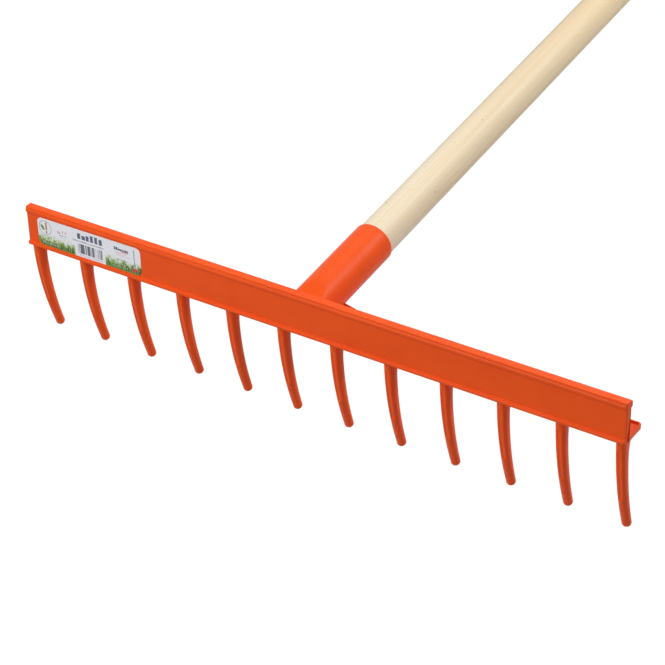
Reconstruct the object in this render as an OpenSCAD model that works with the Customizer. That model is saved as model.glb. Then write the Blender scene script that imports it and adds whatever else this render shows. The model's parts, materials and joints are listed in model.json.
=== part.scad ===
// Hay rake: a moulded plastic head with twelve curved tines on a round wooden handle.
// The head is drawn in its own frame: X along the bar, +Y back towards the handle, and the
// bar's underside on Z = 0 with its web upright. lay_down() then turns the finished rake
// into the pose in which it lies, on its tine tips and on the far end of its handle.

/* [Bar] */
// Distance from the middle of an outer tine to the bar's end
end_margin = 5; // [4.8:0.1:20]
// Height of the bar, from its underside to the top of its rim
bar_h = 31.3; // [26:0.1:50]
// Thickness of the upright web
web_t = 4.2; // [2.4:0.1:5]
// Height of the rim along the web's top edge
rim_h = 4.4; // [3:0.1:8]
// How far the rim stands out in front of the web
rim_front = 0.6; // [0.4:0.1:1.5]
// How far the rim stands out behind the web
rim_back = 1.6; // [1:0.1:4]
// Radius of the small lip along the rim's front
rim_lip_r = 0.9; // [0.5:0.1:1.4]
// How far that lip stands out in front of the rim
rim_lip_out = 0.7; // [0.3:0.1:0.9]
// Height of the middle of that lip above the rim's underside
rim_lip_z = 2; // [1.5:0.1:2.5]
// Radius of the bead along the web's bottom edge
bead_r = 1.4; // [1:0.05:2.5]
// How far the middle of the bead stands in front of the web
bead_out = 0.4; // [0:0.1:1]
// Depth of the flange, from the web's front face to the flange's back edge
flange_depth = 22; // [16:0.1:30]
// Thickness of the flange, behind the web
flange_t = 3; // [2:0.1:3.4]
// Height of the raised lip round the flange, above the bar's underside
flange_lip_h = 4.2; // [3.8:0.1:8]
// Width of the raised lip round the flange
flange_lip_w = 1.8; // [1.8:0.1:4]
// Radius of the bar's corners, seen from above
corner_r = 2.2; // [1.5:0.1:5]

/* [Tines] */
// Distance from one tine to the next
tine_pitch = 43; // [30:0.5:52]
// Length of a tine below the bar, measured straight down
tine_len = 78.5; // [50:0.5:120]
// Width of a tine across the rake, at its root
tine_w = 7.4; // [5:0.1:9]
// Depth of a tine front to back, at its root
tine_d = 10.6; // [7:0.1:13]
// Radius of a tine's round tip
tip_r = 3.4; // [2:0.1:4.5]
// How far a tine's root stands out in front of the web's front face
tine_proud = 0.1; // [0:0.1:1]
// Lean of a tine at its root, backwards per unit of length
tine_lean = 0.015; // [0:0.005:0.05]
// Radius of a tine's backward curve
tine_curve_r = 222; // [150:1:400]
// How far the back of a tine flares out where it joins the flange
flare = 4; // [0:0.1:5]
// Length of that flare, down the tine
flare_len = 14; // [6:0.5:20]
// Depth of the flute down the front of a tine
flute_d = 0.9; // [0:0.1:1.5]

/* [Socket] */
// Length of the socket along its axis, from the web's front face to its mouth
socket_len = 88; // [80:1:130]
// Wall of the socket at its mouth
socket_wall = 1.1; // [1:0.1:4]
// Upward tilt of the socket and the handle, against the bar's underside, in degrees
socket_tilt = 7.5; // [0:0.5:15]
// Wall left over the handle's inner end where the socket slopes down to the rim
crown_wall = 1; // [0.5:0.1:2]
// Gap between the flange and the socket, under the socket's root
socket_lift = 0.4; // [0.2:0.1:3]
// Depth of the gusset under the socket, from the web's front face to its point
gusset_depth = 45.5; // [35:0.5:60]
// Half of the gusset's width along the flange
gusset_half_w = 92; // [50:1:120]
// Thickness of the rib that joins the gusset to the socket
rib_t = 3; // [2:0.1:5]

/* [Handle] */
// Diameter of the handle
handle_d = 28; // [22:0.1:36]
// Length of the handle, with the stretch inside the socket
handle_len = 1500; // [900:5:1800]
// Radius of the rounded edge at the handle's far end
handle_edge_r = 6; // [2:0.5:9]
// How much thinner the handle's radius is at its inner end than at the socket's mouth
handle_taper = 0.9; // [0:0.1:2]
// Clearance all round the handle in its socket
fit_gap = 0.1; // [0.05:0.05:0.3]
// Distance along the socket's axis from the web's front face to the handle's inner end
socket_floor = 14; // [8:0.5:15]

/* [Screw] */
// Distance along the socket's axis from its mouth back to the screw
screw_back = 30; // [12:1:35]
// Diameter of the screw's shank
screw_d = 4; // [3:0.1:5]
// Length of the screw below its head
screw_len = 16; // [10:0.5:25]
// Diameter of the screw's head
screw_head_d = 8; // [6:0.1:10]
// Height of the screw's head
screw_head_h = 2.4; // [1.5:0.1:3.5]
// Diameter of the screw's head at its top
screw_top_d = 6.4; // [4:0.1:8]
// Diameter of the boss that the screw's head sits on
boss_d = 11; // [9:0.1:14]
// Height of that boss above the socket
boss_h = 0.7; // [0.4:0.1:2]

/* [Label] */
// Length of the label
label_l = 92; // [50:1:120]
// Gap between the label and the rim above it
label_margin = 0.9; // [0.5:0.1:4]
// Thickness of the label
label_t = 0.2; // [0.1:0.05:0.4]
// Distance from the bar's left end to the label
label_inset = 10.5; // [6:0.5:40]
// Radius of the label's corners
label_corner_r = 4; // [1:0.5:6]
// Slant of the label, stuck on by hand, in degrees
label_slant = 0.5; // [0:0.1:1]

/* [Hidden] */
tine_count = 12;
tine_sides = 16;          // points round a tine's section
tine_rings = 15;          // sections down a tine, above its round tip
tip_rings = 4;            // sections of the round tip
section_power = 2.4;      // 2 is an ellipse, more is squarer
flute_start = 0.08;       // where the flute begins, as a share of the tine's length
flute_end = 0.66;         // where it ends
screw_gap = 0.05;         // clearance round the screw's shank
screw_slot_w = 1;
screw_slot_depth = 1;
label_clear = 0.15;       // clearance between the bead and the label's lowest corner
edge_r = 0.8;             // rounded edges of the rim and the flange's lip
over = 1;                 // how far a cutter runs past what it cuts
far = 200;                // larger than any part of the head in Y and Z

plastic = [0.86, 0.32, 0.16];
wood = [0.93, 0.85, 0.72];
steel = [0.75, 0.76, 0.78];
paper = [0.95, 0.96, 0.97];

bar_len = (tine_count - 1) * tine_pitch + 2 * end_margin;
bar_half = bar_len / 2;
rim_z = bar_h - rim_h;
rim_back_y = web_t + rim_back;
socket_r = handle_d / 2 + fit_gap + socket_wall;
socket_z = flange_t + socket_lift + socket_r;
handle_r = handle_d / 2;
handle_inner_r = handle_r - handle_taper;
boss_top = socket_r + boss_h;
screw_pos = socket_len - screw_back;
tine_y = tine_d / 2 - tine_proud;
label_z = 2 * bead_r + label_clear;
label_h = rim_z - label_margin - label_z - label_l * sin(label_slant);
$fn = 48;

// Backward offset of a tine's middle line at the depth d below the bar
function sweep_back(d) = tine_lean * d + d * d / (2 * tine_curve_r);
function mix(a, b, t) = a + (b - a) * t;
function bulge(v, power) = sign(v) * pow(abs(v), 2 / power);

// Share of the tine's taper at the depth d: 0 at the root, 1 where the round tip begins
tip_depth = tine_len - tip_r;
function taper(d) = min(1, d / tip_depth);
function half_w(d) = mix(tine_w / 2, tip_r, taper(d));
function half_d(d) = mix(tine_d / 2, tip_r, taper(d));
function power_at(d) = mix(section_power, 2, taper(d));
function flare_at(d) = flare * pow(max(0, 1 - d / flare_len), 2);
function flute_at(d) = d > flute_start * tine_len && d < flute_end * tine_len ? flute_d : 0;

// One point of the section at the depth d and the angle a; 270 degrees faces forwards
function tine_point(d, a) =
    let (back = max(0, sin(a)) * flare_at(d), front = abs(a - 270) < 1 ? flute_at(d) : 0)
    [half_w(d) * bulge(cos(a), power_at(d)),
     tine_y + sweep_back(d) + half_d(d) * bulge(sin(a), power_at(d)) + back + front,
     -d];

// One point of the round tip, at the angle a round it and the angle e below its widest section
function tip_point(a, e) =
    [tip_r * cos(e) * cos(a),
     tine_y + sweep_back(tip_depth) + tip_r * cos(e) * sin(a),
     -tip_depth - tip_r * sin(e)];

// The pose in which the rake lies. Points are [Y, Z] in the head's frame.
axis_dir = [cos(socket_tilt), sin(socket_tilt)];
axis_up = [-sin(socket_tilt), cos(socket_tilt)];
function on_axis(along, up) = [0, socket_z] + along * axis_dir + up * axis_up;
handle_end = socket_floor + handle_len;
end_low = on_axis(handle_end - handle_edge_r, handle_edge_r - handle_r);
end_high = on_axis(handle_end - handle_edge_r, handle_r - handle_edge_r);
tip_centre = [tine_y + sweep_back(tip_depth), -tip_depth];
span = end_low - tip_centre;
lay_angle = atan2(span[1], span[0]) - asin((handle_edge_r - tip_r) / norm(span));
function laid_y(p) = p[0] * cos(lay_angle) + p[1] * sin(lay_angle);
function laid_z(p) = p[1] * cos(lay_angle) - p[0] * sin(lay_angle);
tine_angles = [for (k = [0:tine_sides - 1]) 360 * k / tine_sides];
tine_body = [for (i = [0:tine_rings]) [for (a = tine_angles) tine_point(tip_depth * i / tine_rings, a)]];
front_y = min([for (ring = tine_body, p = ring) laid_y([p[1], p[2]])]);
back_y = laid_y(end_high) + handle_edge_r;
floor_z = laid_z(tip_centre) - tip_r;

function tine_name(i) = str("tine_", i < 10 ? "0" : "", i);

module lay_down() {
    translate([0, -(front_y + back_y) / 2, -floor_z])
        rotate([-lay_angle, 0, 0])
            children();
}

// Puts its children on the socket's axis: +Z runs out of the socket and +Y points downwards
module on_socket_axis() {
    translate([0, 0, socket_z])
        rotate([socket_tilt - 90, 0, 0])
            children();
}

// A rectangle from one corner to the other with round corners
module round_rect(low, high, r) {
    size = high - low;
    translate(low + [r, 0]) square([size[0] - 2 * r, size[1]]);
    translate(low + [0, r]) square([size[0], size[1] - 2 * r]);
    for (x = [low[0] + r, high[0] - r], y = [low[1] + r, high[1] - r])
        translate([x, y]) circle(r);
}

// The bar's outline seen from above, as a tall block that rounds the corners of what it meets
module bar_plan() {
    translate([0, 0, -over]) linear_extrude(bar_h + 2 * over)
        round_rect([-bar_half, -bead_out - bead_r], [bar_half, flange_depth], corner_r);
}

// Extrudes its children along X, from one place to another. They are drawn with Y to the right and Z upwards
module along_x(from, to) {
    translate([from, 0, 0])
        rotate([90, 0, 90])
            linear_extrude(to - from) children();
}

// The upright web with its rim and its bead
module rake_bar() {
    color(plastic) intersection() {
        along_x(-bar_half, bar_half) {
            square([web_t, bar_h - rim_h / 2]);
            round_rect([-rim_front, rim_z], [rim_back_y, bar_h], edge_r);
            translate([rim_lip_r - rim_front - rim_lip_out, rim_z + rim_lip_z]) circle(rim_lip_r);
            translate([-bead_out, bead_r]) circle(bead_r);
        }
        bar_plan();
    }
}

// The flat flange behind the web, without its raised lip
module bar_flange() {
    color(plastic) intersection() {
        translate([-bar_half, web_t, 0]) cube([bar_len, flange_depth - web_t, flange_t]);
        bar_plan();
    }
}

// The section of the flange's raised lip, with round top edges
module lip_section() {
    intersection() {
        round_rect([0, 0], [flange_lip_w, flange_lip_h], edge_r);
        translate([0, flange_t]) square([flange_lip_w, flange_lip_h]);
    }
}

// The lip across each end of the flange
module end_lips() {
    color(plastic) intersection() {
        for (side = [-1, 1])
            translate([side * (bar_half - flange_lip_w / 2) - flange_lip_w / 2, flange_depth, 0])
                rotate([90, 0, 0])
                    linear_extrude(flange_depth - web_t) lip_section();
        bar_plan();
    }
}

// The lip along the flange's back edge, on each side of the gusset
module back_lips() {
    color(plastic)
        for (side = [0, 1])
            mirror([side, 0, 0])
                along_x(gusset_half_w, bar_half - flange_lip_w)
                    translate([flange_depth - flange_lip_w, 0]) lip_section();
}

module socket_solid() {
    on_socket_axis() {
        translate([0, 0, -socket_r]) cylinder(h = socket_len + socket_r, r = socket_r);
        translate([0, 0, screw_pos]) rotate([-90, 0, 0]) cylinder(h = boss_top, d = boss_d);
    }
}

module handle_socket() {
    rise = on_axis(socket_floor, handle_inner_r + fit_gap + crown_wall) - [rim_back_y, bar_h];
    slope = max(0, atan2(rise[1], rise[0]));
    color(plastic) difference() {
        socket_solid();
        on_socket_axis() {
            translate([0, 0, socket_floor])
                cylinder(h = socket_len - socket_floor, r1 = handle_inner_r + fit_gap, r2 = handle_r + fit_gap);
            translate([0, 0, socket_len - over]) cylinder(h = 2 * over, r = handle_r + fit_gap);
            translate([0, 0, screw_pos]) rotate([-90, 0, 0])
                cylinder(h = boss_top + over, d = screw_d + 2 * screw_gap);
        }
        // The web, the rim's back and the slope up from it
        translate([-far / 2, web_t - far, -far / 2]) cube([far, far, far]);
        translate([-far / 2, rim_back_y - far, rim_z]) cube([far, far, far]);
        translate([-far / 2, rim_back_y, bar_h]) rotate([slope, 0, 0])
            translate([0, -far / 2, 0]) cube([far, far, far]);
    }
}

module socket_gusset() {
    edge = atan2(gusset_depth - flange_depth, gusset_half_w);
    lip_x = flange_lip_w / sin(edge);
    lip_y = flange_lip_w / cos(edge);
    color(plastic) difference() {
        union() {
            linear_extrude(flange_t)
                polygon([[-gusset_half_w, flange_depth], [gusset_half_w, flange_depth], [0, gusset_depth]]);
            linear_extrude(flange_lip_h)
                polygon([[-gusset_half_w, flange_depth], [0, gusset_depth], [gusset_half_w, flange_depth],
                         [gusset_half_w - lip_x, flange_depth], [0, gusset_depth - lip_y],
                         [lip_x - gusset_half_w, flange_depth]]);
            translate([-rib_t / 2, web_t, flange_t])
                cube([rib_t, gusset_depth - web_t - lip_y / 2, socket_z - flange_t]);
        }
        on_socket_axis() cylinder(h = 2 * gusset_depth, r = socket_r, center = true);
    }
}

// One tine, as a skin over its sections from the root to the tip
module tine_shape() {
    tip = [for (j = [1:tip_rings - 1]) [for (a = tine_angles) tip_point(a, 90 * j / tip_rings)]];
    rings = concat(tine_body, tip);
    count = len(rings);
    points = concat([for (ring = rings) each ring], [tip_point(0, 90)]);
    sides = [for (i = [0:count - 2], k = [0:tine_sides - 1])
        let (next = (k + 1) % tine_sides, row = i * tine_sides, below = row + tine_sides)
        [row + k, row + next, below + next, below + k]];
    root = [[for (k = [0:tine_sides - 1]) tine_sides - 1 - k]];
    cap = [for (k = [0:tine_sides - 1])
        let (row = (count - 1) * tine_sides)
        [row + k, row + (k + 1) % tine_sides, len(points) - 1]];
    polyhedron(points, concat(root, sides, cap), convexity = 4);
}

module tine(i) {
    color(plastic)
        translate([(i - (tine_count + 1) / 2) * tine_pitch, 0, 0])
            tine_shape();
}

module handle() {
    color(wood) on_socket_axis() difference() {
        rotate_extrude() {
            polygon([[0, socket_floor], [handle_inner_r, socket_floor], [handle_r, socket_len],
                     [handle_r, handle_end - handle_edge_r], [handle_r - handle_edge_r, handle_end],
                     [0, handle_end]]);
            intersection() {
                translate([handle_r - handle_edge_r, handle_end - handle_edge_r]) circle(handle_edge_r);
                square([handle_r, handle_end]);
            }
        }
        translate([0, boss_top - screw_len, screw_pos]) rotate([-90, 0, 0])
            cylinder(h = screw_len, d = screw_d + 2 * screw_gap);
    }
}

module handle_screw() {
    color(steel) on_socket_axis() translate([0, boss_top, screw_pos]) rotate([-90, 0, 0])
        difference() {
            union() {
                translate([0, 0, -screw_len]) cylinder(h = screw_len + screw_head_h / 2, d = screw_d);
                cylinder(h = screw_head_h, d1 = screw_head_d, d2 = screw_top_d);
            }
            translate([-screw_head_d, -screw_slot_w / 2, screw_head_h - screw_slot_depth])
                cube([2 * screw_head_d, screw_slot_w, screw_head_h]);
        }
}

module label() {
    color(paper) translate([label_inset - bar_half, 0, label_z]) rotate([90, 0, 0])
        linear_extrude(label_t)
            rotate(label_slant) round_rect([0, 0], [label_l, label_h], label_corner_r);
}

lay_down() rake_bar();
lay_down() bar_flange();
lay_down() end_lips();
lay_down() back_lips();
lay_down() handle_socket();
lay_down() socket_gusset();
for (i = [1:tine_count])
    lay_down() tine(i);
lay_down() handle();
lay_down() handle_screw();
lay_down() label();
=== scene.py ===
"""Looks of the hay rake: a moulded plastic head with twelve tines on a wooden handle.

Shapes are drawn in millimetres. The head's pieces use the head's own frame: X along the bar, +Y back
towards the handle, Z up from the bar's underside. The handle's pieces use a frame whose Z runs along
the handle from the web's front face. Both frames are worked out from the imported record.
"""
import json
import math

import bmesh
import bpy
from mathutils import Matrix, Vector

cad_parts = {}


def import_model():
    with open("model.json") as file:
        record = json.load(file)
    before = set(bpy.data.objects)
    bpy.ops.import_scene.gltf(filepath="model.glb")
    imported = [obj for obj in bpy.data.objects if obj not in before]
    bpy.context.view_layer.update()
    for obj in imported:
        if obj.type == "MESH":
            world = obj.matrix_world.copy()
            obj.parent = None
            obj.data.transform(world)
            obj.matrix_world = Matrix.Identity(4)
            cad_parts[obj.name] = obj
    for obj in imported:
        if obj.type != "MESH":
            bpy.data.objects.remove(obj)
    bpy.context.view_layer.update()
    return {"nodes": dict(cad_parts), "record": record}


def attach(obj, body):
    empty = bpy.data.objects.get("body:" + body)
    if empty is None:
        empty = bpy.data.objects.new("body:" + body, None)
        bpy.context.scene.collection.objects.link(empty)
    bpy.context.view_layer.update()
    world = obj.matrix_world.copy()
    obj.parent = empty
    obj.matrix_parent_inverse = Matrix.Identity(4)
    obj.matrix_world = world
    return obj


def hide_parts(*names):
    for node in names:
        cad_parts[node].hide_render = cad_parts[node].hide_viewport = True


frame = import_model()
MM = 0.001

# ---------------------------------------------------------------- frames from the record
PEG_POINT = (43, 12, 0)          # where the peg_rest mount lies in the head's frame
mounts = {m["name"]: m for m in frame["record"]["mounts"]}
down = Vector(mounts["peg_rest"]["axis"])
turn = Matrix.Rotation(-math.atan2(-down.y, -down.z), 4, "X")
HEAD = Matrix.Translation(Vector(mounts["peg_rest"]["pos_m"]) - turn @ (Vector(PEG_POINT) * MM)) @ turn
axis = turn.inverted() @ Vector(mounts["handle_grip"]["axis"])
grip = HEAD.inverted() @ Vector(mounts["handle_grip"]["pos_m"]) / MM
SOCKET_TILT = math.atan2(axis.z, axis.y)
SOCKET_Z = grip.z - grip.y * math.tan(SOCKET_TILT)
HANDLE = HEAD @ Matrix.Translation((0, 0, SOCKET_Z * MM)) @ Matrix.Rotation(SOCKET_TILT - math.pi / 2, 4, "X")


def span(node, home):
    """The lowest and highest corner of a CAD node in a frame of its own, in millimetres."""
    back = home.inverted()
    points = [back @ v.co / MM for v in frame["nodes"][node].data.vertices]
    return [Vector([pick(p[i] for p in points) for i in range(3)]) for pick in (min, max)]


# ---------------------------------------------------------------- sizes, in millimetres
TINES = sorted(n for n in frame["nodes"] if n.startswith("tine_"))
bar_low, bar_high = span("rake_bar", HEAD)
plate_low, plate_high = span("bar_flange", HEAD)
lip_low, lip_high = span("back_lips", HEAD)
tine_low, tine_high = span(TINES[0], HEAD)
gusset_high = span("socket_gusset", HEAD)[1]
socket_high = span("handle_socket", HANDLE)[1]
handle_low, handle_high = span("handle", HANDLE)
screw_low, screw_high = span("handle_screw", HANDLE)

# the bar: a web with a rim along its top, a lip under the rim, a bead and a foot along its bottom
BAR_HALF, BAR_H, WEB_T = bar_high.x, bar_high.z, plate_low.y
RIM_H, RIM_FRONT, RIM_BACK = 4.4, -0.6, bar_high.y
RIM_Z = BAR_H - RIM_H
LIP_FRONT, LIP_Z, LIP_R = -1.3, RIM_Z + 2, 0.9
BEAD_FRONT, BEAD_H = bar_low.y, 2.8
FOOT_STEP, FOOT_INSET = 1.7, 1.2  # how far the foot stands out behind the web, and stops short of its ends
END_ROUND, STATION_STEP = 0.9, 20
FRONT_CUT, TOP_CUT = 0.35, 0.02   # how far the ends' front and top are turned in, as shares
BACK_CUT = {-1: 0.9, 1: 0.3}      # the same for the rim's back corner, at the left and the right end
END_SLANT = {-1: 0.2, 1: 0.9}     # how much shorter the bar's front is than its back, at either end
OVERLAP = 0.3                     # how far pieces of the moulding reach into the web

# the flange, the gusset and the rib
FLANGE_Y, FLANGE_T = plate_high.y, plate_high.z
FLANGE_LIP_H, FLANGE_LIP_W = lip_high.z, lip_high.y - lip_low.y
FLANGE_CORNER_R, BEND_R, POINT_R = 2.4, 14, 9
GUSSET_X, GUSSET_Y = gusset_high.x, gusset_high.y
RIB_STEP, RIB_STEPS = 1.5, 25
RIB_NARROWS, RIB_END_SHARE = (38, 5), 0.35     # from where, over what length and by what share it narrows

# the tines: each has a flute down its front, and a small raised spot below that
TINE_X = {n: sum(p.x for p in span(n, HEAD)) / 2 for n in TINES}
TINE_LEN, TINE_W, TINE_D, TIP_R = -tine_low.z, tine_high.x - tine_low.x, 10.6, 3.4
TINE_Y, TINE_LEAN, TINE_CURVE = TINE_D / 2 - 0.1, 0.015, 222.0
FLARE, FLARE_LEN, TINE_ROOT_R = 4.0, 14.0, 1.2
FLUTE_D, FLUTE_W, FLUTE_START, FLUTE_END = 0.9, 1.25, 5, 0.64 * TINE_LEN
SPOT_H, SPOT_X, SPOT_BELOW, SPOT_W, SPOT_L = 0.45, -0.2, 1.4, 0.8, 0.9

# the socket, whose crown is kept over the handle's end, and the handle and its screw in a boss
SOCKET_R, SOCKET_LEN, SOCKET_ROOT_R = socket_high.x, socket_high.z, 1.8
CROWN_WALL, CROWN_DROP, CROWN_LEAD, CROWN_BLEND = 1.0, 0.06, 0.4, 3.0
HANDLE_START, HANDLE_END, HANDLE_R = handle_low.z, handle_high.z, handle_high.x
HANDLE_TAPER, HANDLE_EDGE_R, FIT_GAP = 0.9, 6.0, 0.1
CONE_END, CONE_END_TAPER = SOCKET_LEN - 10, 0.12
SCREW_POS, SCREW_HEAD_R = (screw_low.z + screw_high.z) / 2, (screw_high.z - screw_low.z) / 2
SCREW_HEAD_H, SCREW_TOP_R, SCREW_R, SCREW_LEN = 2.4, 3.2, 2.0, 16.0
SLOT_HALF, SLOT_D = 0.5, 1.0
BOSS_R, BOSS_H, BOSS_EDGE, BOSS_REACH = 5.5, screw_high.y - SCREW_HEAD_H - SOCKET_R, 0.7, 8

# the label
LABEL_L, LABEL_T, LABEL_CORNER, LABEL_SLANT = 93.0, 0.2, 4.0, math.radians(0.5)
LABEL_INSET, LABEL_MARGIN, LABEL_EDGE = 10.0, 0.7, 0.05
LABEL_ABOVE_BEAD, LABEL_UNDER_RIM = 0.15, 0.9
LABEL_Z = BEAD_H + LABEL_ABOVE_BEAD
LABEL_H = RIM_Z - LABEL_UNDER_RIM - LABEL_Z - LABEL_L * math.sin(LABEL_SLANT)

SCREW = (HANDLE @ Matrix.Translation((0, (SOCKET_R + BOSS_H) * MM, SCREW_POS * MM))
         @ Matrix.Rotation(-math.pi / 2, 4, "X"))
LABEL = (HEAD @ Matrix.Translation(((LABEL_INSET - BAR_HALF) * MM, 0, LABEL_Z * MM))
         @ Matrix.Rotation(math.pi / 2, 4, "X") @ Matrix.Rotation(LABEL_SLANT, 4, "Z"))


# ---------------------------------------------------------------- mesh helpers
STRAIGHT = math.radians(89.5)    # a corner whose half angle is over this needs no arc
ARC_REACH = 0.49                 # how much of an edge the arc at one of its ends may take
MERGE = 1e-7                     # points closer than this, in metres, are one


def mix(a, b, t):
    return a + (b - a) * t


def smooth(t):
    t = max(0.0, min(1.0, t))
    return t * t * (3 - 2 * t)


def soft_min(a, b, width):
    """The lower of two values, with a round change from one to the other."""
    h = max(width - abs(a - b), 0) / width
    return min(a, b) - h * h * width / 4


def turns(count, offset=0.0):
    """The angles of count points round a circle."""
    return [2 * math.pi * (k + offset) / count for k in range(count)]


def rounded(corners, steps=6):
    """The closed outline through (x, y, radius) corners, each replaced by an arc of that radius."""
    points = []
    for i, (x, y, radius) in enumerate(corners):
        here = Vector((x, y))
        before = Vector(corners[i - 1][:2]) - here
        after = Vector(corners[(i + 1) % len(corners)][:2]) - here
        half = before.angle(after) / 2
        if radius <= 0 or half > STRAIGHT:
            points += [here.copy()] * (steps + 1)
            continue
        reach = min(radius / math.tan(half), ARC_REACH * before.length, ARC_REACH * after.length)
        radius = reach * math.tan(half)
        centre = here + (before.normalized() + after.normalized()).normalized() * (radius / math.sin(half))
        start = here + before.normalized() * reach - centre
        end = here + after.normalized() * reach - centre
        sweep = start.angle_signed(end)
        for k in range(steps + 1):
            a = -sweep * k / steps
            points.append(centre + Vector((start.x * math.cos(a) - start.y * math.sin(a),
                                           start.x * math.sin(a) + start.y * math.cos(a))))
    return points


def loft(rings, cap_end=True):
    """Vertices and faces of the skin over rings that all have the same number of points."""
    n = len(rings[0])
    verts = [p for ring in rings for p in ring]
    faces = [(i * n + k, i * n + (k + 1) % n, (i + 1) * n + (k + 1) % n, (i + 1) * n + k)
             for i in range(len(rings) - 1) for k in range(n)]
    faces.append(tuple(reversed(range(n))))
    if cap_end:
        faces.append(tuple(range(len(verts) - n, len(verts))))
    return verts, faces


def make_piece(name, shape, home, material, replaces, sharp=180):
    """A piece from vertices in millimetres in the frame home, which rides on the rake's one body.

    Edges sharper than sharp degrees stay crisp, and the flat faces between them are shaded flat.
    """
    verts, faces = shape
    bm = bmesh.new()
    made = [bm.verts.new(home @ (Vector(v) * MM)) for v in verts]
    for face in faces:
        bm.faces.new([made[i] for i in face])
    bmesh.ops.remove_doubles(bm, verts=bm.verts, dist=MERGE)
    bmesh.ops.recalc_face_normals(bm, faces=bm.faces)
    mesh = bpy.data.meshes.new(name)
    bm.to_mesh(mesh)
    bm.free()
    mesh.shade_smooth()
    piece = bpy.data.objects.new(name, mesh)
    bpy.context.scene.collection.objects.link(piece)
    if sharp < 180:
        mesh.set_sharp_from_angle(angle=math.radians(sharp))
        piece.modifiers.new("even shading", "WEIGHTED_NORMAL").keep_sharp = True
    mesh.materials.append(material)
    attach(piece, "root")
    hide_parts(*replaces)


# ---------------------------------------------------------------- materials
def srgb(r, g, b):
    """A colour given in sRGB bytes, as the linear colour a shader takes."""
    linear = [c / 255 / 12.92 if c <= 10 else ((c / 255 + 0.055) / 1.055) ** 2.4 for c in (r, g, b)]
    return (*linear, 1.0)


def grey(level):
    return (level, level, level, 1.0)


class Tree:
    """A node tree, with short calls for the nodes that this scene uses."""

    def __init__(self, tree):
        self.tree = tree

    def node(self, kind, inputs=None, **settings):
        made = self.tree.nodes.new(kind)
        for key, value in settings.items():
            setattr(made, key, value)
        for key, value in (inputs or {}).items():
            self.feed(made.inputs[key], value)
        return made

    def feed(self, socket, value):
        if isinstance(value, bpy.types.NodeSocket):
            self.tree.links.new(value, socket)
        else:
            socket.default_value = value

    def math(self, operation, a, b=0.0):
        return self.node("ShaderNodeMath", {0: a, 1: b}, operation=operation).outputs[0]

    def plus(self, a, b):
        return self.math("ADD", a, b)

    def minus(self, a, b):
        return self.math("SUBTRACT", a, b)

    def times(self, a, b):
        return self.math("MULTIPLY", a, b)

    def hypot(self, x, y):
        return self.math("SQRT", self.plus(self.times(x, x), self.times(y, y)))

    def spread(self, value, low, high, from_low=0.3, from_high=0.7):
        """A value that goes from from_low to from_high, made to go from low to high and no further."""
        return self.node("ShaderNodeMapRange", {"Value": value, "From Min": from_low, "From Max": from_high,
                                                "To Min": low, "To Max": high}).outputs[0]

    def noise(self, vector, scale, detail=3.0, rough=0.5, distortion=0.0):
        return self.node("ShaderNodeTexNoise", {"Vector": vector, "Scale": scale, "Detail": detail,
                                                "Roughness": rough, "Distortion": distortion}).outputs["Fac"]

    def ramp(self, value, stops):
        made = self.node("ShaderNodeValToRGB", {"Fac": value})
        elements = made.color_ramp.elements
        while len(elements) < len(stops):
            elements.new(0.5)
        for element, (at, colour) in zip(elements, stops):
            element.position, element.color = at, colour
        return made.outputs["Color"]

    def blend(self, factor, a, b):
        made = self.node("ShaderNodeMix", data_type="RGBA")
        for index, value in ((0, factor), (6, a), (7, b)):
            self.feed(made.inputs[index], value)
        return made.outputs[2]

    def bump(self, height, distance, strength=1.0, normal=None):
        inputs = {"Height": height, "Distance": distance, "Strength": strength}
        if normal is not None:
            inputs["Normal"] = normal
        return self.node("ShaderNodeBump", inputs).outputs[0]

    def seen_plainly(self):
        """1 for what the camera sees, straight or mirrored or through glass, and 0 for diffuse light."""
        path = self.node("ShaderNodeLightPath")
        seen = self.math("MAXIMUM", path.outputs["Is Camera Ray"], path.outputs["Is Glossy Ray"])
        return self.math("MAXIMUM", seen, path.outputs["Is Transmission Ray"])


class Surface(Tree):
    """A material whose textures lie in a frame of its own, in metres."""

    def __init__(self, name, home):
        self.material = bpy.data.materials.new(name)
        self.material.use_nodes = True
        super().__init__(self.material.node_tree)
        where = self.node("ShaderNodeTexCoord").outputs["Object"]
        into_home = {"Vector": where, "Location": home.translation, "Rotation": home.to_euler()}
        self.here = self.node("ShaderNodeMapping", into_home, vector_type="TEXTURE").outputs[0]

    def stretched(self, *scale):
        """The frame's coordinates times a scale for each axis."""
        return self.node("ShaderNodeMapping", {"Vector": self.here, "Scale": scale}).outputs[0]

    def set(self, **sockets):
        """The material, once its shader's sockets have these values."""
        shader = self.tree.nodes["Principled BSDF"]
        for key, value in sockets.items():
            self.feed(shader.inputs[key.replace("_", " ")], value)
        return self.material


def plastic():
    """Satin orange polypropylene: faint flow marks, a fine mould texture and a few dull rubs."""
    n = Surface("orange polypropylene", HEAD)
    flow = n.noise(n.stretched(9, 45, 45), 1.0, 3.0, 0.55, 0.4)
    cloud = n.noise(n.here, 45.0, 2.0)
    grain = n.noise(n.here, 1600.0, 2.0, 0.6)
    waves = n.noise(n.here, 110.0, 2.0, 0.5)
    rubs = n.noise(n.stretched(160, 1100, 600), 1.0, 4.0, 0.6)
    colour = n.blend(n.spread(flow, 0, 1), srgb(239, 84, 24), srgb(245, 89, 26))
    colour = n.blend(n.spread(cloud, 0, 0.4, 0.45, 0.75), colour, srgb(234, 79, 23))
    colour = n.blend(n.spread(rubs, 0, 0.3, 0.64, 0.8), colour, srgb(246, 98, 40))
    rough = n.plus(n.spread(cloud, 0.38, 0.43), n.spread(rubs, 0, 0.1, 0.6, 0.8))
    soft = n.bump(waves, 0.00003, 0.6)
    return n.set(Base_Color=colour, Roughness=rough, IOR=1.49, Specular_IOR_Level=0.12,
                 Normal=n.bump(grain, 0.000012, 0.5, soft))


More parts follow.
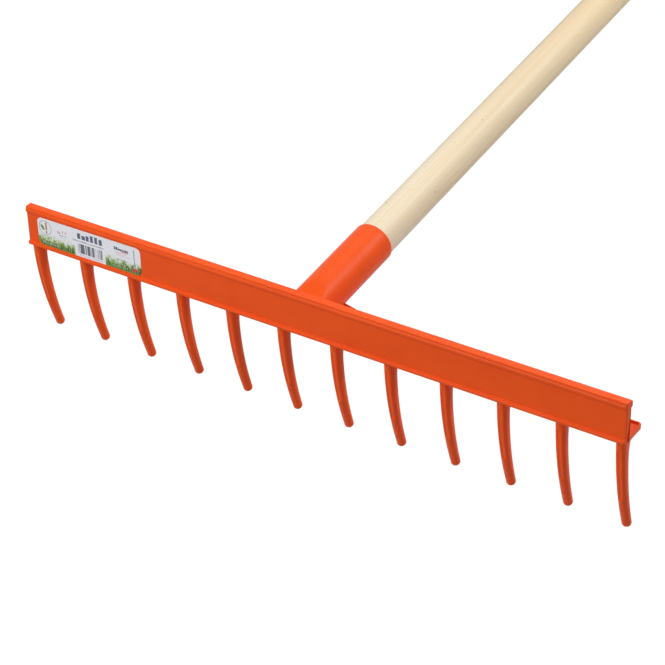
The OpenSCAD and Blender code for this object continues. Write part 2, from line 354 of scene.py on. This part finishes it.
RINGS_PER_METRE = 330.0
PITH_X, PITH_Y = (0.028, 0.036), 0.019      # how far off the stick's middle the tree's was, in metres
FAR_SHADE_FROM, FAR_SHADE_TO = 0.12, 0.42               # where along the handle, in metres, the wood is painted darker and tan: painted shade for the light falling off away from the head
KNOT_FLATNESS = 0.45
KNOTS = [(-6.5, -12.3, 118, 0.9), (12.6, -5.2, 152, 0.8), (4.2, -13.0, 236, 0.7), (-11.8, 6.9, 330, 2.0),
         (-9.0, -10.4, 402, 0.7), (8.8, -10.6, 585, 1.1), (-13.0, 4.0, 760, 1.4), (3.0, 13.4, 890, 2.4),
         (10.9, -8.4, 1105, 1.2), (-2.0, -13.6, 1290, 1.6)]      # (x, y, z, size) in the handle's frame


def wood():
    """Pale, sanded, unvarnished wood with a faint grain along Z of the handle's frame, and painted shade that
    makes it darker and tan further along the handle.
    """
    n = Surface("pale wood", HANDLE)
    bend = n.noise(n.stretched(9, 9, 2.2), 1.0, 2.0)
    parts = n.node("ShaderNodeSeparateXYZ", {"Vector": n.here}).outputs
    radius = n.hypot(n.plus(parts["X"], n.spread(bend, *PITH_X, 0.2, 0.8)), n.plus(parts["Y"], PITH_Y))
    ring = n.math("FRACT", n.times(radius, RINGS_PER_METRE))
    late = n.ramp(ring, [(0.0, grey(0)), (0.6, grey(0.4)), (0.88, grey(1)), (1.0, grey(0))])
    fibre = n.noise(n.stretched(900, 900, 14), 1.0, 4.0, 0.65)
    streak = n.noise(n.stretched(160, 160, 3), 1.0, 3.0, 0.5)
    tone = n.noise(n.stretched(20, 20, 4), 1.0, 2.0)
    pore = n.noise(n.stretched(2600, 2600, 90), 1.0, 2.0, 0.5)
    along = n.plus(parts["Z"], n.spread(streak, -0.08, 0.08, 0.3, 0.7))
    colour = n.blend(n.spread(tone, 0, 1), srgb(240, 228, 203), srgb(233, 218, 188))
    # painted shade: darker and tan further from the head, standing in for the light falling off along the
    # handle
    colour = n.blend(n.spread(along, 0, 0.75, FAR_SHADE_FROM, FAR_SHADE_TO), colour, srgb(226, 200, 156))
    colour = n.blend(n.times(late, 0.2), colour, srgb(230, 206, 168))
    colour = n.blend(n.spread(streak, 0, 0.7, 0.48, 0.7), colour, srgb(228, 200, 160))
    colour = n.blend(n.spread(fibre, 0, 0.3, 0.45, 0.8), colour, srgb(222, 198, 160))
    colour = n.blend(n.spread(pore, 0, 0.4, 0.68, 0.8), colour, srgb(186, 154, 112))
    for x, y, z, size in KNOTS:
        offset = n.node("ShaderNodeVectorMath", {0: n.here, 1: (x * MM, y * MM, z * MM)},
                        operation="SUBTRACT").outputs[0]
        flat = n.node("ShaderNodeVectorMath", {0: offset, 1: (1, 1, KNOT_FLATNESS)},
                      operation="MULTIPLY").outputs[0]
        away = n.node("ShaderNodeVectorMath", {0: flat}, operation="LENGTH").outputs["Value"]
        colour = n.blend(n.spread(away, 0.8, 0.0, 0.3 * size * MM, size * MM), colour, srgb(166, 130, 88))
    height = n.plus(n.times(fibre, 0.6), n.times(late, 0.4))
    return n.set(Base_Color=colour, Roughness=n.spread(fibre, 0.5, 0.64), IOR=1.5, Specular_IOR_Level=0.35,
                 Normal=n.bump(height, 0.00004, 0.6))


def zinc():
    """Bright zinc plating with fine turning marks and dull patches."""
    n = Surface("zinc plate", SCREW)
    patches = n.noise(n.here, 900.0, 3.0, 0.6)
    turned = n.noise(n.stretched(400, 400, 9000), 1.0, 2.0)
    colour = n.blend(n.spread(patches, 0, 1), srgb(196, 199, 204), srgb(171, 173, 176))
    return n.set(Base_Color=colour, Metallic=1.0, Roughness=n.spread(patches, 0.24, 0.42),
                 Normal=n.bump(turned, 0.00001, 0.6))


class Print(Surface):
    """A printed sheet: shapes laid over a plain ground, in millimetres from its lower left corner.

    The print starts margin to the right of that corner.
    """

    def __init__(self, name, home, ground, margin):
        super().__init__(name, home)
        parts = self.node("ShaderNodeSeparateXYZ", {"Vector": self.here}).outputs
        self.x = self.minus(self.times(parts["X"], 1 / MM), margin)
        self.y = self.times(parts["Y"], 1 / MM)
        self.colour = ground

    def lay(self, mask, colour):
        self.colour = self.blend(mask, self.colour, colour)

    def draw(self, cell):
        """A number from 0 to 1 that is the same all over each cell."""
        return self.node("ShaderNodeTexWhiteNoise", {"W": cell}, noise_dimensions="1D").outputs["Value"]

    def within(self, value, low, high):
        middle, half = (low + high) / 2, (high - low) / 2
        return self.math("LESS_THAN", self.math("ABSOLUTE", self.minus(value, middle)), half)

    def box(self, x0, x1, y0, y1):
        return self.times(self.within(self.x, x0, x1), self.within(self.y, y0, y1))

    def dashes(self, x0, x1, y0, y1, pitch, share, seed):
        """A row of short blocks of uneven length and height, which stands for a line of print."""
        column = self.plus(self.math("DIVIDE", self.x, pitch), seed)
        cell = self.math("FLOOR", column)
        wide = self.spread(self.draw(cell), share, min(1.0, share + 0.3), 0, 1)
        filled = self.math("LESS_THAN", self.math("FRACT", column), wide)
        top = self.spread(self.draw(self.plus(cell, 0.5)), mix(y0, y1, 0.62), y1, 0.3, 0.7)
        inside = self.times(self.box(x0, x1, y0, y1), filled)
        return self.times(inside, self.math("LESS_THAN", self.y, top))

    def ring(self, x, y, inner, outer):
        return self.within(self.hypot(self.minus(self.x, x), self.minus(self.y, y)), inner, outer)

    def blades(self, seed, width, low, high, lean):
        """Grass: one tapering blade in each column, with its own height between low and high."""
        bow = self.times(self.times(self.y, self.y), lean)
        wave = self.times(self.math("SINE", self.plus(self.times(self.x, WAVE_RATE), seed)), WAVE_SIZE)
        bent = self.plus(self.plus(self.x, bow), self.times(wave, self.y))
        column = self.plus(self.math("DIVIDE", bent, width), seed * SEED_STEP)
        tall = self.spread(self.draw(self.math("FLOOR", column)), low, high, 0, 1)
        middle = self.math("ABSOLUTE", self.minus(self.math("FRACT", column), 0.5))
        reach = self.minus(0.5, self.times(self.math("DIVIDE", self.y, tall), 0.5))
        return self.math("LESS_THAN", middle, reach)


# What the sticker carries, in millimetres from the print's lower left corner. A box is x0, x1, y0, y1.
# A row adds its pitch and share. A blade of grass is a seed, a width, a low and a high top, and a lean.
WHITE, OFF_WHITE = srgb(240, 242, 249), srgb(236, 240, 238)
INK, HEADING, BARS = srgb(62, 64, 92), srgb(88, 91, 118), srgb(98, 100, 116)
GREY, PALE = srgb(136, 138, 152), srgb(186, 188, 200)
RED, PINK, STEM = srgb(196, 58, 52), srgb(222, 150, 150), srgb(120, 142, 118)
GRASS = [(-1, 32.6), (60.4, 94)]                                 # x0, x1
WAVE_RATE, WAVE_SIZE, SEED_STEP = 1.9, 0.12, 7.31                # how the blades sway from side to side
BLADES = [(1.0, 2.6, 7.4, 12.4, 0.02, srgb(190, 206, 140)), (6.0, 2.1, 6.8, 11.0, 0.025, srgb(150, 182, 70)),
          (2.0, 1.9, 6.0, 10.2, -0.02, srgb(108, 152, 46)), (3.0, 2.7, 4.6, 9.4, 0.03, srgb(60, 108, 28)),
          (4.0, 1.3, 4.2, 8.4, -0.03, srgb(136, 170, 56)), (5.0, 2.2, 3.0, 8.2, 0.02, srgb(44, 86, 22)),
          (7.0, 1.1, 2.4, 5.6, -0.02, srgb(30, 64, 18)), (8.0, 2.4, 1.0, 5.0, 0.02, srgb(104, 146, 48))]
MIST = [(2, 19, 1.6, 3.6), (3, 19, 4.4, 6.2), (66, 80, 1.6, 3.4), (64, 79, 4.2, 5.8)]
MIST_PITCH, MIST_SHARE, MIST_SEED = 1.3, 0.5, 3.0
WHITE_BLOCK = (32.6, 60.4, 0, 11.8)
STRIPES, STRIPES_PER_MM = (35.3, 58.2, 2.9, 10.8), 1.9
ROWS = [(34.6, 58.2, 14.8, 20.2, 3.9, 0.6, HEADING), (31.4, 59.5, 12.3, 13.5, 1.05, 0.55, GREY),
        (36.5, 46, 1.2, 2.1, 1.2, 0.5, PALE), (48, 57.5, 1.2, 2.1, 1.2, 0.5, PALE),
        (69.0, 81.5, 15.8, 18.2, 1.9, 0.75, INK), (69.5, 80, 13.4, 14.1, 1.0, 0.5, PINK),
        (70.5, 83, 11.6, 12.3, 1.1, 0.45, PALE), (71.5, 81.5, 7.9, 8.6, 0.9, 0.7, GREY),
        (17, 19.6, 13.4, 15.6, 1.2, 0.5, GREY), (20.5, 25.5, 14.6, 17.0, 2.6, 0.3, PINK),
        (19, 26, 12.1, 12.8, 1.0, 0.7, GREY), (19.5, 23, 10.4, 11.0, 0.9, 0.5, PALE)]
BLOCKS = [(75.2, 81.5, 15.0, 15.6, RED), (86.3, 87.0, 5.4, 20.0, STEM), (85.3, 88.0, 4.6, 5.8, PALE),
          (84.2, 89.2, 2.2, 4.6, RED)]
EMBLEM_X, EMBLEM_Y, EMBLEM_R, EMBLEM_LINE = 6.3, 14.9, 5.8, 0.4
LEAF_R, LEAF_ENDS = 3.6, [(-4.4, -1.2), (-0.6, 1.2)]     # a leaf is where two discs overlap


def emblem(p):
    """A ring with a leaf and a barred post in it."""
    x, y = EMBLEM_X, EMBLEM_Y
    p.lay(p.ring(x, y, 0, EMBLEM_R), OFF_WHITE)
    p.lay(p.ring(x, y, EMBLEM_R - EMBLEM_LINE, EMBLEM_R), srgb(120, 150, 132))
    p.lay(p.times(*[p.ring(x + dx, y + dy, 0, LEAF_R) for dx, dy in LEAF_ENDS]), srgb(96, 156, 96))
    p.lay(p.box(x + 0.3, x + 1.5, y - 4.4, y + 4.6), srgb(196, 70, 72))
    p.lay(p.box(x + 0.3, x + 1.5, y - 2.6, y - 1.9), OFF_WHITE)


def sticker():
    """A generic print without lettering: grass, stripes, rows of blocks, a ring and a small rake."""
    p = Print("printed sticker", LABEL, WHITE, LABEL_MARGIN)
    haze = p.noise(p.here, 260.0, 2.0)
    for x0, x1 in GRASS:
        strip = p.within(p.x, x0, x1)
        for seed, width, low, high, lean, colour in BLADES:
            p.lay(p.times(strip, p.blades(seed, width, low, high, lean)), colour)
    for x0, x1, y0, y1 in MIST:
        patch = p.dashes(x0, x1, y0, y1, MIST_PITCH, MIST_SHARE, MIST_SEED)
        p.lay(p.times(patch, p.spread(haze, 0.2, 0.7)), srgb(206, 216, 196))
    p.lay(p.box(*WHITE_BLOCK), WHITE)
    stripe = p.draw(p.math("FLOOR", p.times(p.x, STRIPES_PER_MM)))
    p.lay(p.times(p.box(*STRIPES), p.spread(stripe, 0, 1, 0.3, 0.55)), BARS)
    for x0, x1, y0, y1, pitch, share, colour in ROWS:
        p.lay(p.dashes(x0, x1, y0, y1, pitch, share, y0), colour)
    for x0, x1, y0, y1, colour in BLOCKS:
        p.lay(p.box(x0, x1, y0, y1), colour)
    emblem(p)
    speck = p.noise(p.here, 2500.0, 2.0)
    colour = p.blend(p.spread(speck, 0, 0.1), p.colour, srgb(130, 130, 124))
    return p.set(Base_Color=colour, Roughness=p.spread(speck, 0.3, 0.38), Specular_IOR_Level=0.4,
                 Normal=p.bump(p.noise(p.here, 320.0, 2.0), 0.00002, 0.4))


PLASTIC, WOOD, ZINC, STICKER = plastic(), wood(), zinc(), sticker()


# ---------------------------------------------------------------- the head
def bar():
    """The upright web with its rim, lip and bead: one section swept along X, rounded at both ends."""
    foot_y, foot_z = WEB_T + FOOT_STEP, FLANGE_T + 0.01
    section = rounded([                                           # y, z, radius
        (WEB_T - OVERLAP, 0, 0), (foot_y, 0.6, 0), (foot_y, foot_z, 0), (WEB_T, foot_z, 1.6),
        (WEB_T, RIM_Z, 0.9), (RIM_BACK, RIM_Z, 0.5), (RIM_BACK, BAR_H, 0.9), (RIM_FRONT, BAR_H, 0.8),
        (RIM_FRONT, LIP_Z + LIP_R, 0.4), (LIP_FRONT, LIP_Z, 0.6), (LIP_FRONT, RIM_Z + 0.1, 0.6),
        (0, RIM_Z, 0.3), (0, BEAD_H + 0.2, 0.6), (BEAD_FRONT, BEAD_H - 0.3, 1.2), (BEAD_FRONT, 0, 1.3)])
    middle, under_rim = WEB_T / 2, RIM_Z - 2

    def ring(side, x, turn_in, inner=False):
        """The section at x, on the left or right side, with its corners turned in by a share."""
        points = []
        for y, z in section:
            in_foot = y > WEB_T + 0.05 and z < under_rim
            back = BAR_HALF - FOOT_INSET if in_foot else BAR_HALF
            reach = back - END_SLANT[side] * (RIM_BACK - y) / (RIM_BACK - RIM_FRONT)
            if y < middle:
                y += (middle - y) * FRONT_CUT * turn_in
            elif y > WEB_T and z > under_rim:
                y -= (y - WEB_T) * BACK_CUT[side] * turn_in
            if z > BAR_H / 2:
                z -= (z - BAR_H / 2) * TOP_CUT * turn_in
            points.append((side * (x if inner else reach - (BAR_HALF - x)), y, z))
        return points

    ends = [(BAR_HALF - END_ROUND * (1 - math.sin(a)), 1 - math.cos(a))
            for a in [math.radians(15 * k) for k in range(7)]]
    last = int(BAR_HALF // STATION_STEP) - 1
    stations = [(-1, x, t) for x, t in reversed(ends)]
    stations += [(1, STATION_STEP * k, 0, True) for k in range(-last, last + 1)]
    stations += [(1, x, t) for x, t in ends]
    return loft([ring(*station) for station in stations])


def outline_inset(corners, inset):
    """A closed clockwise outline moved inwards. Its last edge, which is buried in the web, stays."""
    lines = []
    for i, (x, y, _) in enumerate(corners):
        after = corners[(i + 1) % len(corners)]
        run = Vector((after[0] - x, after[1] - y)).normalized()
        move = 0 if i == len(corners) - 1 else inset
        lines.append((Vector((x, y)) + Vector((run.y, -run.x)) * move, run))
    moved = []
    for i, (x, y, radius) in enumerate(corners):
        (p, u), (q, v) = lines[i - 1], lines[i]
        cross = u.x * v.y - u.y * v.x
        at = p + u * (((q - p).x * v.y - (q - p).y * v.x) / cross)
        bends_out = cross < 0
        if radius > 0:
            radius = max(0.4, radius - inset) if bends_out else radius + inset
        moved.append((at.x, at.y, radius))
    return rounded(moved, 8)


def flange():
    """The flange and the gusset as one tray, with a raised lip along its ends and its back."""
    front = WEB_T - OVERLAP
    corners = [(-BAR_HALF, front, 0), (-BAR_HALF, FLANGE_Y, FLANGE_CORNER_R), (-GUSSET_X, FLANGE_Y, BEND_R),
               (0, GUSSET_Y, POINT_R), (GUSSET_X, FLANGE_Y, BEND_R), (BAR_HALF, FLANGE_Y, FLANGE_CORNER_R),
               (BAR_HALF, front, 0)]
    top, width, floor_z = FLANGE_LIP_H, FLANGE_LIP_W, FLANGE_T
    steps = [(0.5, 0), (0.15, 0.15), (0, 0.5), (0, top - 0.7), (0.2, top - 0.2), (0.7, top),
             (width - 0.6, top), (width - 0.18, top - 0.18), (width, top - 0.6), (width, floor_z + 0.4),
             (width + 0.12, floor_z + 0.12), (width + 0.4, floor_z)]      # inset, z
    return loft([[(p.x, p.y, z) for p in outline_inset(corners, inset)] for inset, z in steps])


def socket_axis(s, x, up):
    """The point at s along the socket's axis, x across it and up from it."""
    c, t = math.cos(SOCKET_TILT), math.sin(SOCKET_TILT)
    return (x, s * c - up * t, SOCKET_Z + s * t + up * c)


def socket():
    """The tube that holds the handle. Its underside flares into the web and its crown runs out on the rim."""
    # how far along each ring lies, as a share: the rings crowd at the root and round the boss
    root_y, root_step, root_rings, free_len = WEB_T - 0.4, 0.4, 46, SOCKET_LEN - 4
    shares = [root_step * k / free_len for k in range(root_rings)]
    for end, count in ((SCREW_POS - BOSS_REACH, 8), (SCREW_POS + BOSS_REACH, 26), (SOCKET_LEN, 6)):
        shares += [mix(shares[-1], end / SOCKET_LEN, k / count) for k in range(1, count + 1)]
    inner, bore = HANDLE_R - HANDLE_TAPER + FIT_GAP, HANDLE_R + FIT_GAP
    _, wall_y, wall_z = socket_axis(HANDLE_START, 0, inner + CROWN_WALL)
    slope = (wall_z - BAR_H) / (wall_y - RIM_BACK)

    def skin(share, a):
        """The tube's outer face at a share of the way along and an angle from its crown."""
        across, up = math.sin(a), math.cos(a)
        start = (root_y + SOCKET_R * up * math.sin(SOCKET_TILT)) / math.cos(SOCKET_TILT)
        s = mix(start, SOCKET_LEN, share)
        y = socket_axis(s, SOCKET_R * across, SOCKET_R * up)[1]
        close = max(0, SOCKET_ROOT_R - max(0, y - WEB_T)) * smooth((0.5 - up) / 0.6)
        r = SOCKET_R + SOCKET_ROOT_R - math.sqrt(SOCKET_ROOT_R ** 2 - close ** 2)
        off_boss = math.hypot(s - SCREW_POS, r * across)
        if up < -0.7:
            r += ((SOCKET_R + BOSS_H) / -up - SOCKET_R) * smooth(BOSS_R + BOSS_EDGE - off_boss)
        x, y, z = socket_axis(s, r * across, r * up)
        crown = BAR_H - CROWN_DROP + slope * max(0, y - RIM_BACK + CROWN_LEAD)
        return (x, y, soft_min(z, crown, CROWN_BLEND) if up > 0 else z)

    angles = turns(144)
    rings = [[skin(share, a) for a in angles] for share in shares[:-1]]
    mouth = [(SOCKET_R, SOCKET_LEN - 0.4), (SOCKET_R - 0.1, SOCKET_LEN - 0.1), (SOCKET_R - 0.4, SOCKET_LEN),
             (bore + 0.28, SOCKET_LEN), (bore + 0.06, SOCKET_LEN - 0.1), (bore, SOCKET_LEN - 0.4),
             (inner, HANDLE_START)]                               # radius, place along the axis
    rings += [[socket_axis(s, r * math.sin(a), r * math.cos(a)) for a in angles] for r, s in mouth]
    return loft(rings)


def rib():
    """The upright rib between the gusset and the socket, flared at its top and bottom."""
    narrows_at, narrows_in = RIB_NARROWS
    rings = []
    for y in [WEB_T - OVERLAP] + [4 + RIB_STEP * k for k in range(1, RIB_STEPS + 1)]:
        tube = SOCKET_Z + y * math.tan(SOCKET_TILT) - SOCKET_R / math.cos(SOCKET_TILT)
        low, high = FLANGE_T - 0.2, tube + 0.5
        width = 1 - RIB_END_SHARE * smooth((y - narrows_at) / narrows_in)
        levels = [(2.9, 0), (1.9, 0.22), (1.5, 0.5), (1.6, 0.75), (2.3, 1)]      # half width, share of height
        side = [(w * width, mix(low, high, t)) for w, t in levels]
        rings.append([(w, y, z) for w, z in side] + [(-w, y, z) for w, z in reversed(side)])
    return loft(rings)


def tine():
    """One tine, with its root at the origin: a curved, tapering rod with a fluted front and a round tip."""
    tip_depth = TINE_LEN - TIP_R
    angles = turns(48)

    def centre(d):
        """How far back the tine's middle lies at depth d."""
        return TINE_Y + TINE_LEAN * d + d * d / (2 * TINE_CURVE)

    def bulge(v, power):
        """A sine or cosine pushed outwards, for a section between an ellipse and a box."""
        return math.copysign(abs(v) ** (2 / power), v)

    def body(d):
        t = max(0, d) / tip_depth
        half_w, half_d, power = mix(TINE_W / 2, TIP_R, t), mix(TINE_D / 2, TIP_R, t), mix(2.4, 2, t)
        close = max(0, TINE_ROOT_R - max(0, d))
        root = TINE_ROOT_R - math.sqrt(TINE_ROOT_R ** 2 - close ** 2)
        flare = FLARE * max(0, 1 - max(0, d) / FLARE_LEN) ** 2
        flute = FLUTE_D * smooth((d - FLUTE_START) / 2.5) * smooth((FLUTE_END - d) / 1.2)
        below = (d - FLUTE_END - SPOT_BELOW) / SPOT_L
        points = []
        for a in angles:
            c, s = bulge(math.cos(a), power), bulge(math.sin(a), power)
            x = (half_w + root) * c
            y = half_d * s + (root + flare) * max(0, s) + 0.2 * root * min(0, s)
            if s < 0:
                y += flute * math.exp(-(x / FLUTE_W) ** 2)
                y -= SPOT_H * math.exp(-((x - SPOT_X) / SPOT_W) ** 2 - below ** 2)
            points.append((x, centre(d) + y, -d))
        return points

    def tip(e):
        r, z = TIP_R * math.cos(e), -tip_depth - TIP_R * math.sin(e)
        return [(r * math.cos(a), centre(tip_depth) + r * math.sin(a), z) for a in angles]

    depths = [-0.5, 0, 0.06, 0.15, 0.3, 0.5, 0.8, 1.2] + [2 + 0.8 * k for k in range(91)] + [tip_depth]
    return loft([body(d) for d in depths] + [tip(math.radians(10 * k)) for k in range(1, 9)])


HEAD_PIECES = [("bar_moulding", bar(), ["rake_bar"], 50),
               ("flange_moulding", flange(), ["bar_flange", "end_lips", "back_lips"], 50),
               ("gusset_rib", rib(), ["socket_gusset"], 180),
               ("socket_moulding", socket(), ["handle_socket"], 180)]
for name, shape, nodes, sharp in HEAD_PIECES:
    make_piece(name, shape, HEAD, PLASTIC, nodes, sharp)
tine_verts, tine_faces = tine()
for name in TINES:
    verts = [(x + TINE_X[name], y, z) for x, y, z in tine_verts]
    make_piece(name + "_moulding", (verts, tine_faces), HEAD, PLASTIC, [name])


# ---------------------------------------------------------------- handle, screw and label
def handle():
    """The round stick, faintly uneven: a cone in the socket, a straight length and a rounded far end."""
    rings_along = 150
    places = [(HANDLE_START, HANDLE_R - HANDLE_TAPER), (CONE_END, HANDLE_R - CONE_END_TAPER)]
    places += [(mix(SOCKET_LEN, HANDLE_END - HANDLE_EDGE_R, k / rings_along), HANDLE_R)
               for k in range(rings_along + 1)]
    places += [(HANDLE_END - HANDLE_EDGE_R * (1 - math.sin(a)), HANDLE_R - HANDLE_EDGE_R * (1 - math.cos(a)))
               for a in [math.radians(9 * k) for k in range(1, 11)]]
    rings = []
    for s, r in places:
        ring = []
        for a in turns(72):
            worn = r - 0.035 * (1 + math.sin(s / 31 + 2 * a)) - 0.02 * (1 + math.sin(s / 9.7 - 3 * a))
            ring.append((worn * math.cos(a), worn * math.sin(a), s))
        rings.append(ring)
    return loft(rings)


def screw():
    """A slotted pan-head wood screw; its shank is inside the socket and the handle."""
    count = 48
    r, top, h = SCREW_HEAD_R, SCREW_TOP_R, SCREW_HEAD_H
    profile = [(0.15, -SCREW_LEN), (SCREW_R * 0.7, 3 - SCREW_LEN), (SCREW_R, 5 - SCREW_LEN), (SCREW_R, 0),
               (r - 0.1, 0), (r, 0.15), (r, 0.5), (mix(r, top, 0.45), h - SLOT_D),
               (mix(r, top, 0.6), h - 0.6), (top, h - 0.2), (top - 0.5, h)]      # radius, z
    angles = turns(count, 0.5)
    verts, faces = loft([[(q * math.cos(a), q * math.sin(a), z) for a in angles] for q, z in profile],
                        cap_end=False)
    rim = len(verts) - count
    half = count // 2
    # the head's top as two lands, one on each side of the slot, then the slot's walls and floor
    edge = min(range(half // 2), key=lambda k: abs(verts[rim + k][1] - SLOT_HALF))
    near = [rim + k for k in range(edge, half - edge)]
    far = [rim + half + k for k in range(edge, half - edge)]
    for land in (near, far):
        ends = [land[0], land[-1]]
        foot = [len(verts), len(verts) + 1]
        verts += [(verts[i][0], verts[i][1], h - SLOT_D) for i in ends]
        faces.append(tuple(land))
        faces.append((ends[0], foot[0], foot[1], ends[1]))
    a0, a1, b0, b1 = [len(verts) - k for k in (4, 3, 2, 1)]
    faces.append((a0, a1, b0, b1))
    # the rim's two short stretches, where the slot runs out
    right = [rim + k for k in range(edge, -1, -1)] + [rim + count - 1 - k for k in range(edge + 1)]
    left = [rim + half - 1 - k for k in range(edge, -1, -1)] + [rim + half + k for k in range(edge + 1)]
    faces.append((a0, *right, b1))
    faces.append((a1, *left, b0))
    return verts, faces


def label():
    """The sticker: a thin sheet with round corners."""
    corners = [(0, 0, LABEL_CORNER), (0, LABEL_H, LABEL_CORNER), (LABEL_L, LABEL_H, LABEL_CORNER),
               (LABEL_L, 0, LABEL_CORNER)]
    outline = rounded(corners, 10)
    middle = Vector((LABEL_L / 2, LABEL_H / 2))

    def ring(inset, z):
        return [(p.x + math.copysign(inset, middle.x - p.x), p.y + math.copysign(inset, middle.y - p.y), z)
                for p in outline]

    return loft([ring(0, 0), ring(0, LABEL_T - LABEL_EDGE), ring(LABEL_EDGE, LABEL_T)])


make_piece("handle_wood", handle(), HANDLE, WOOD, ["handle"])
make_piece("screw", screw(), SCREW, ZINC, ["handle_screw"], 30)
make_piece("sticker", label(), LABEL, STICKER, ["label"], 50)


# ---------------------------------------------------------------- floor, lights and camera
FLOOR_HALF, FLOOR_DROP = 6.0, 0.0005                             # in metres
FLOOR_GREY, AMBIENT = 0.5, 0.27
GLOW, GLOW_SHARE = 1.08, 0.9     # how bright the floor looks to the camera, and how much of its look that is
LIGHTS = [("key", (-0.32, -0.8, 0.9), (0, 0, 0), 0.7, 10),       # name, place, aim, size, power
          ("back", (0.85, 0.92, 1.14), (0, 0, 0), 0.65, 13),
          ("handle", (-0.3, 1.4, 1.4), (0, 1.2, 0), 1.0, 6.5)]
CAMERA_PLACE = (704.65, -1025.26, 808.27)                        # in the head's frame, in millimetres
CAMERA_LOOK, CAMERA_UP = (-0.46514, 0.69868, -0.54359), (-0.28179, 0.46525, 0.83913)
CAMERA_LENS, SENSOR_WIDTH = 118.39, 36


def white_backdrop(name, colour):
    """A pale ground that looks white to the camera and in reflections, and still takes the rake's shadow."""
    material = bpy.data.materials.new(name)
    material.use_nodes = True
    n = Tree(material.node_tree)
    diffuse = n.node("ShaderNodeBsdfDiffuse", {"Color": colour}).outputs[0]
    glow = n.node("ShaderNodeEmission", {"Color": grey(1), "Strength": GLOW}).outputs[0]
    share = n.times(n.seen_plainly(), GLOW_SHARE)
    both = n.node("ShaderNodeMixShader", {0: share, 1: diffuse, 2: glow}).outputs[0]
    n.feed(n.tree.nodes["Material Output"].inputs["Surface"], both)
    return material


def floor():
    size = FLOOR_HALF
    mesh = bpy.data.meshes.new("floor")
    mesh.from_pydata([(-size, -size, 0), (size, -size, 0), (size, size, 0), (-size, size, 0)], [],
                     [(0, 1, 2, 3)])
    ground = bpy.data.objects.new("floor", mesh)
    bpy.context.scene.collection.objects.link(ground)
    ground.location.z = -FLOOR_DROP
    mesh.materials.append(white_backdrop("floor", grey(FLOOR_GREY)))


def world():
    """A world that is plain white to the camera and in reflections, and lights the rake dimly all round."""
    made = bpy.data.worlds.new("studio")
    bpy.context.scene.world = made
    made.use_nodes = True
    n = Tree(made.node_tree)
    background = n.tree.nodes["Background"]
    n.feed(background.inputs["Color"], grey(1))
    n.feed(background.inputs["Strength"], n.spread(n.seen_plainly(), AMBIENT, 1.0, 0, 1))


def area_light(name, place, aim, size, power):
    """A round soft lamp. Its place and what it is aimed at are in the head's frame, in metres."""
    data = bpy.data.lights.new(name, "AREA")
    data.shape, data.size, data.energy = "DISK", size, power
    lamp = bpy.data.objects.new(name, data)
    lamp.location = HEAD @ Vector(place)
    lamp.rotation_euler = (HEAD @ Vector(aim) - lamp.location).to_track_quat("-Z", "Y").to_euler()
    bpy.context.scene.collection.objects.link(lamp)


def camera():
    look = Vector(CAMERA_LOOK)
    right = look.cross(Vector(CAMERA_UP))
    turned = Matrix((right, right.cross(look), -look)).transposed().to_4x4()
    data = bpy.data.cameras.new("camera")
    data.lens, data.sensor_width = CAMERA_LENS, SENSOR_WIDTH
    made = bpy.data.objects.new("camera", data)
    bpy.context.scene.collection.objects.link(made)
    made.matrix_world = HEAD @ Matrix.Translation(Vector(CAMERA_PLACE) * MM) @ turned
    bpy.context.scene.camera = made


floor()
world()
for light in LIGHTS:
    area_light(*light)
camera()
bpy.context.scene.view_settings.view_transform = "Standard"
